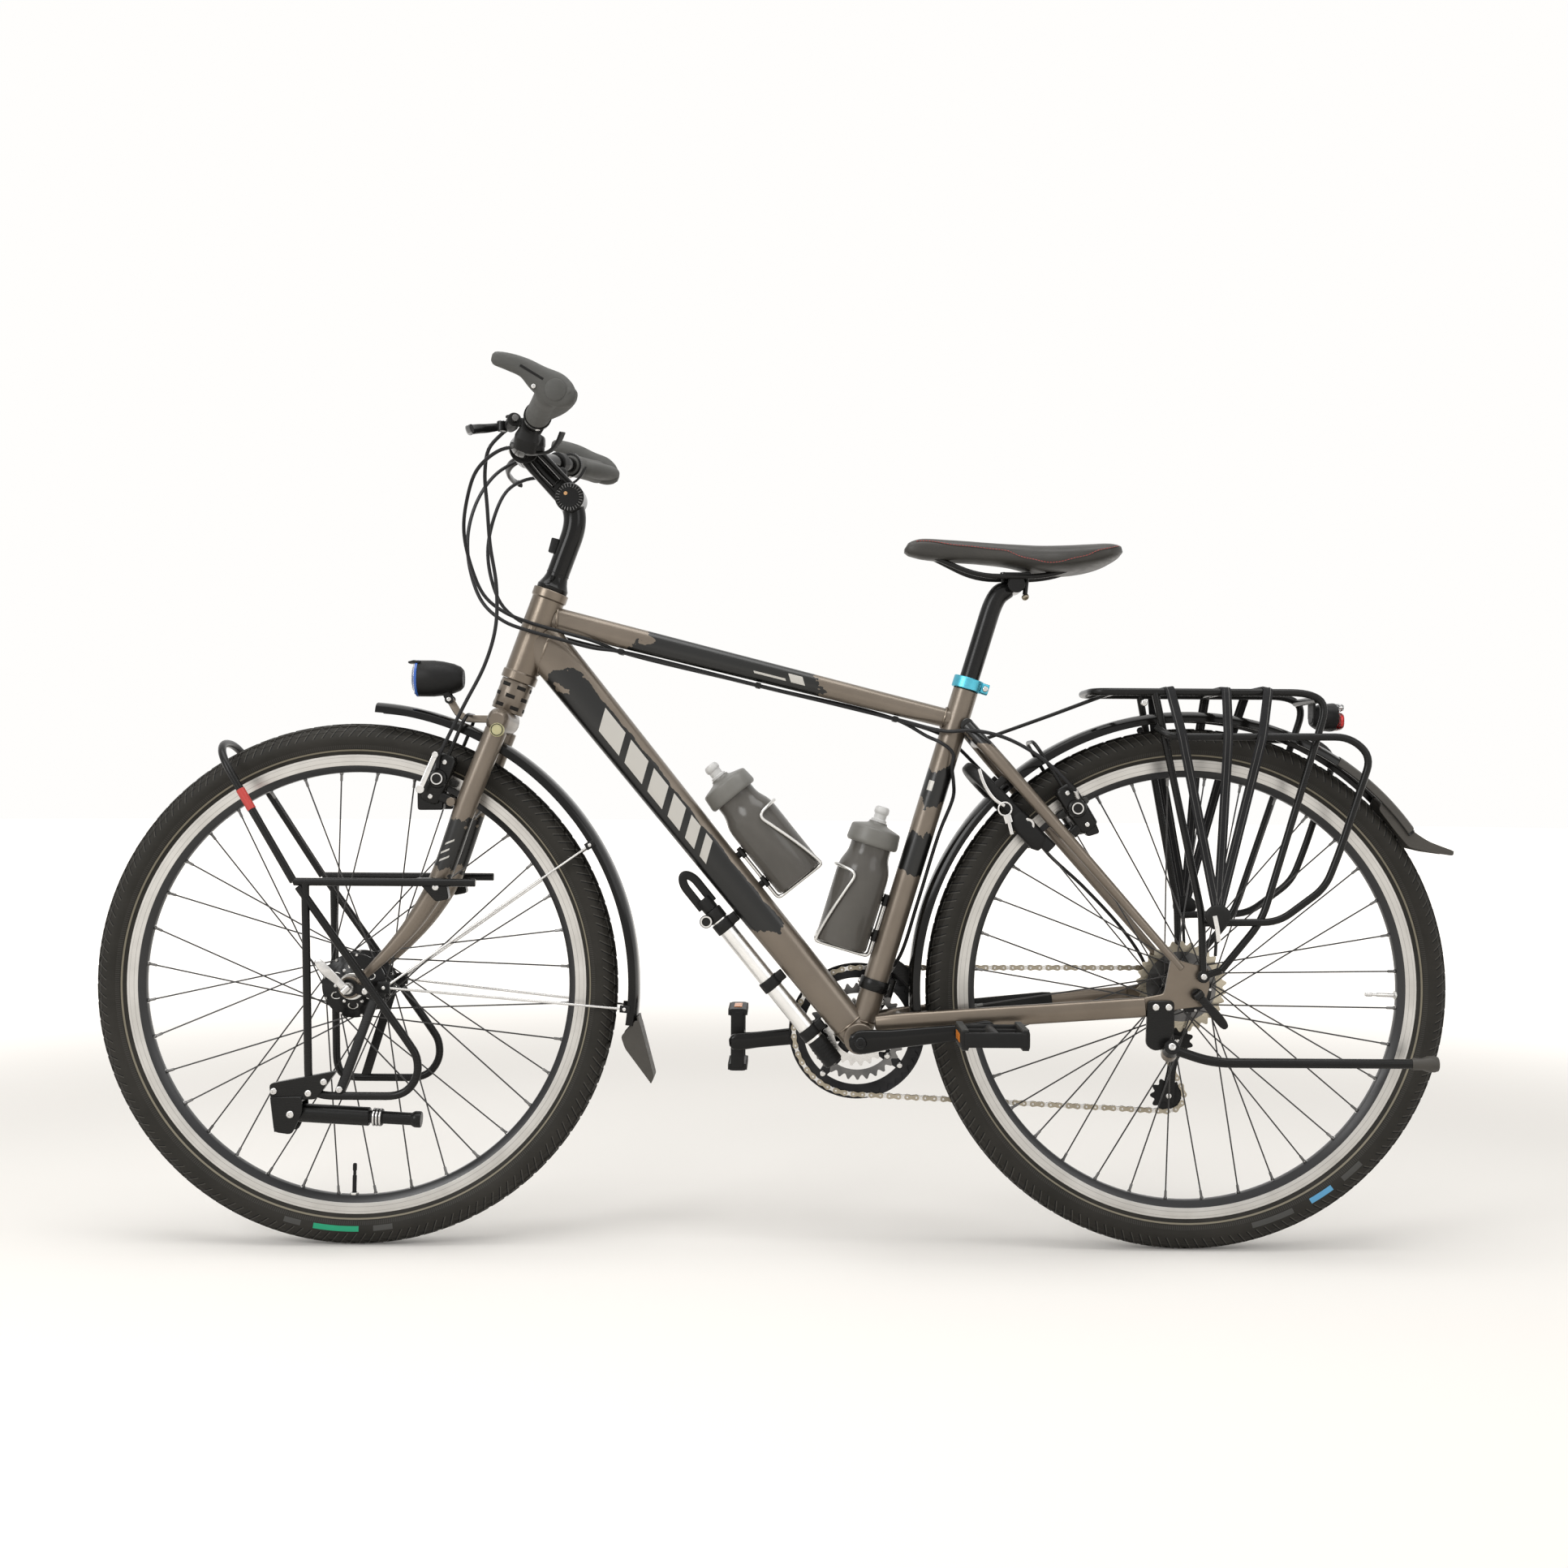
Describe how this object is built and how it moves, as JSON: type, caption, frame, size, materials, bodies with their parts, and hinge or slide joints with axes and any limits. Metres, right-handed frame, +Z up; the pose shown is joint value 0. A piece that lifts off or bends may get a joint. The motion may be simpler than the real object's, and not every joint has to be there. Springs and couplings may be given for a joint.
{
  "type": "touring bicycle",
  "caption": "Touring bicycle with aluminium frame, swept bar, front and rear racks, mudguards, stands, lights, bottles, pump and ring lock; wheels, cranks, steering and levers move.",
  "frame": {"origin": "on the ground, at the middle of the bounding box's length and width, in the bicycle's middle plane", "axes": "+X to the rear of the bicycle, so the rider faces -X, +Y to the rider's right and +Z up"},
  "size_m": [1.871, 0.6186, 1.1632],
  "materials": {
    "frame_paint": "satin metallic taupe paint",
    "black_metal": "satin black powder coat",
    "black_plastic": "fine grained black moulding",
    "tyre": "matt black tread and sidewall",
    "grip_rubber": "soft matt grey rubber",
    "alloy": "bright satin alloy",
    "steel": "plated steel",
    "blue_metal": "light blue satin coat",
    "saddle_cover": "matt dark grey cover with a fine grain",
    "bottle_plastic": "smoky soft plastic",
    "webbing": "woven elastic band"
  },
  "bodies": {
    "frame": {"head_tube": "frame_paint", "top_tube": "frame_paint", "down_tube": "frame_paint", "seat_tube": "frame_paint", "seat_stays": "frame_paint", "chain_stays": "frame_paint", "seat_clamp": "blue_metal", "chain": "steel", "front_derailleur": "black_metal", "rear_derailleur": "black_metal", "rear_brake": "black_metal", "rear_mudguard": "black_plastic", "rear_rack": "black_metal", "rack_straps": "webbing", "rear_light": "black_plastic", "ring_lock": "black_plastic", "cage_down_tube": "alloy", "cage_seat_tube": "alloy", "pump_barrel": "alloy", "rear_axle": "black_metal", "frame_cables": "black_plastic"},
    "steering": {"fork": "frame_paint", "stem": "black_metal", "handlebar": "black_metal", "grip_left": "grip_rubber", "grip_right": "grip_rubber", "lever_body_left": "black_plastic", "lever_body_right": "black_plastic", "front_mudguard": "black_plastic", "front_rack": "black_metal", "front_brake": "black_metal", "front_axle": "alloy", "front_brake_hose": "black_plastic"},
    "front_wheel": {"front_tyre": "tyre", "front_rim": "alloy", "front_hub": "alloy"},
    "rear_wheel": {"rear_tyre": "tyre", "rear_rim": "alloy", "rear_hub": "alloy"},
    "crankset": {"crank_arms": "black_metal", "chainrings": "steel"},
    "left_pedal": {"pedal_left": "black_plastic"},
    "right_pedal": {"pedal_right": "black_plastic"},
    "sprockets": {"cassette": "steel"},
    "upper_guide": {"guide_wheel": "black_plastic"},
    "lower_guide": {"tension_wheel": "black_plastic"},
    "seat": {"seat_post": "black_metal", "saddle": "saddle_cover"},
    "left_brake_lever": {"brake_lever_left": "black_metal"},
    "right_brake_lever": {"brake_lever_right": "black_metal"},
    "left_shift_lever": {"shift_lever_left": "black_plastic"},
    "right_shift_lever": {"shift_lever_right": "black_plastic"},
    "front_release": {"front_release_lever": "alloy"},
    "rear_release": {"rear_release_lever": "black_metal"},
    "front_stand": {"front_stand_leg": "black_metal"},
    "rear_stand": {"rear_stand_leg": "black_metal"},
    "lamp": {"headlight": "black_plastic"},
    "seat_tube_bottle": {"bottle_lower": "bottle_plastic"},
    "down_tube_bottle": {"bottle_upper": "bottle_plastic"},
    "pump_rod": {"pump_handle": "black_plastic"}
  },
  "joints": [
    {"name": "steering_turn", "type": "hinge", "parent": "frame", "child": "steering", "pos_m": [-0.51985, 0, 0.337], "axis": [0.342, 0, 0.9397], "range_deg": [-60, 60], "deforming": ["frame_cables"]},
    {"name": "front_wheel_spin", "type": "hinge", "parent": "steering", "child": "front_wheel", "pos_m": [-0.57755, 0, 0.358], "axis": [0, 1, 0], "continuous": true},
    {"name": "rear_wheel_spin", "type": "hinge", "parent": "frame", "child": "rear_wheel", "pos_m": [0.56215, 0, 0.358], "axis": [0, 1, 0], "continuous": true},
    {"name": "crank_spin", "type": "hinge", "parent": "frame", "child": "crankset", "pos_m": [0.11229, 0, 0.2898], "axis": [0, 1, 0], "continuous": true},
    {"name": "left_pedal_spin", "type": "hinge", "parent": "crankset", "child": "left_pedal", "pos_m": [0.2812, -0.13, 0.30904], "axis": [0, 1, 0], "continuous": true},
    {"name": "right_pedal_spin", "type": "hinge", "parent": "crankset", "child": "right_pedal", "pos_m": [-0.05661, 0.13, 0.27056], "axis": [0, 1, 0], "continuous": true},
    {"name": "sprockets_spin", "type": "hinge", "parent": "frame", "child": "sprockets", "pos_m": [0.56215, 0.04, 0.358], "axis": [0, 1, 0], "continuous": true},
    {"name": "upper_guide_spin", "type": "hinge", "parent": "frame", "child": "upper_guide", "pos_m": [0.56251, 0.059, 0.27745], "axis": [0, 1, 0], "continuous": true},
    {"name": "lower_guide_spin", "type": "hinge", "parent": "frame", "child": "lower_guide", "pos_m": [0.55141, 0.059, 0.20084], "axis": [0, 1, 0], "continuous": true},
    {"name": "seat_height", "type": "slide", "parent": "frame", "child": "seat", "axis": [0.2907, 0, 0.9568], "range_m": [-0.06, 0.08]},
    {"name": "left_brake_pull", "type": "hinge", "parent": "steering", "child": "left_brake_lever", "pos_m": [-0.36699, -0.11856, 1.10523], "axis": [0, 0, 1], "range_deg": [0, 11], "stiffness_Nm_per_rad": 2},
    {"name": "right_brake_pull", "type": "hinge", "parent": "steering", "child": "right_brake_lever", "pos_m": [-0.36699, 0.11849, 1.10523], "axis": [0, 0, -1], "range_deg": [0, 11], "stiffness_Nm_per_rad": 2},
    {"name": "left_shift_push", "type": "hinge", "parent": "steering", "child": "left_shift_lever", "pos_m": [-0.32641, -0.12683, 1.07807], "axis": [0, 0, 1], "range_deg": [0, 25], "stiffness_Nm_per_rad": 1},
    {"name": "right_shift_push", "type": "hinge", "parent": "steering", "child": "right_shift_lever", "pos_m": [-0.32641, 0.12677, 1.07807], "axis": [0, 0, -1], "range_deg": [0, 25], "stiffness_Nm_per_rad": 1},
    {"name": "front_release_swing", "type": "hinge", "parent": "steering", "child": "front_release", "pos_m": [-0.57755, -0.0769, 0.358], "axis": [0.7071, 0, 0.7071], "range_deg": [0, 120]},
    {"name": "rear_release_swing", "type": "hinge", "parent": "frame", "child": "rear_release", "pos_m": [0.56215, -0.0901, 0.358], "axis": [-0.766, 0, -0.6428], "range_deg": [0, 120]},
    {"name": "front_stand_fold", "type": "hinge", "parent": "steering", "child": "front_stand", "pos_m": [-0.64736, -0.073, 0.1926], "axis": [0, 1, 0], "range_deg": [0, 90]},
    {"name": "rear_stand_fold", "type": "hinge", "parent": "frame", "child": "rear_stand", "pos_m": [0.52456, -0.0939, 0.28747], "axis": [0, 0.8572, -0.515], "range_deg": [0, 110]},
    {"name": "lamp_tilt", "type": "hinge", "parent": "steering", "child": "lamp", "pos_m": [-0.45368, 0, 0.75001], "axis": [0, 1, 0], "range_deg": [-15, 15]},
    {"name": "seat_tube_bottle_pull", "type": "slide", "parent": "frame", "child": "seat_tube_bottle", "axis": [0.2907, 0, 0.9568], "range_m": [0, 0.09]},
    {"name": "down_tube_bottle_pull", "type": "slide", "parent": "frame", "child": "down_tube_bottle", "axis": [-0.6318, 0, 0.7751], "range_m": [0, 0.09]},
    {"name": "pump_stroke", "type": "slide", "parent": "frame", "child": "pump_rod", "axis": [-0.6318, 0, 0.7751], "range_m": [0, 0.12]}
  ],
  "couplings": [
    {"joint": "sprockets_spin", "follows": "crank_spin", "ratio": 4},
    {"joint": "upper_guide_spin", "follows": "crank_spin", "ratio": -4},
    {"joint": "lower_guide_spin", "follows": "crank_spin", "ratio": 4}
  ]
}
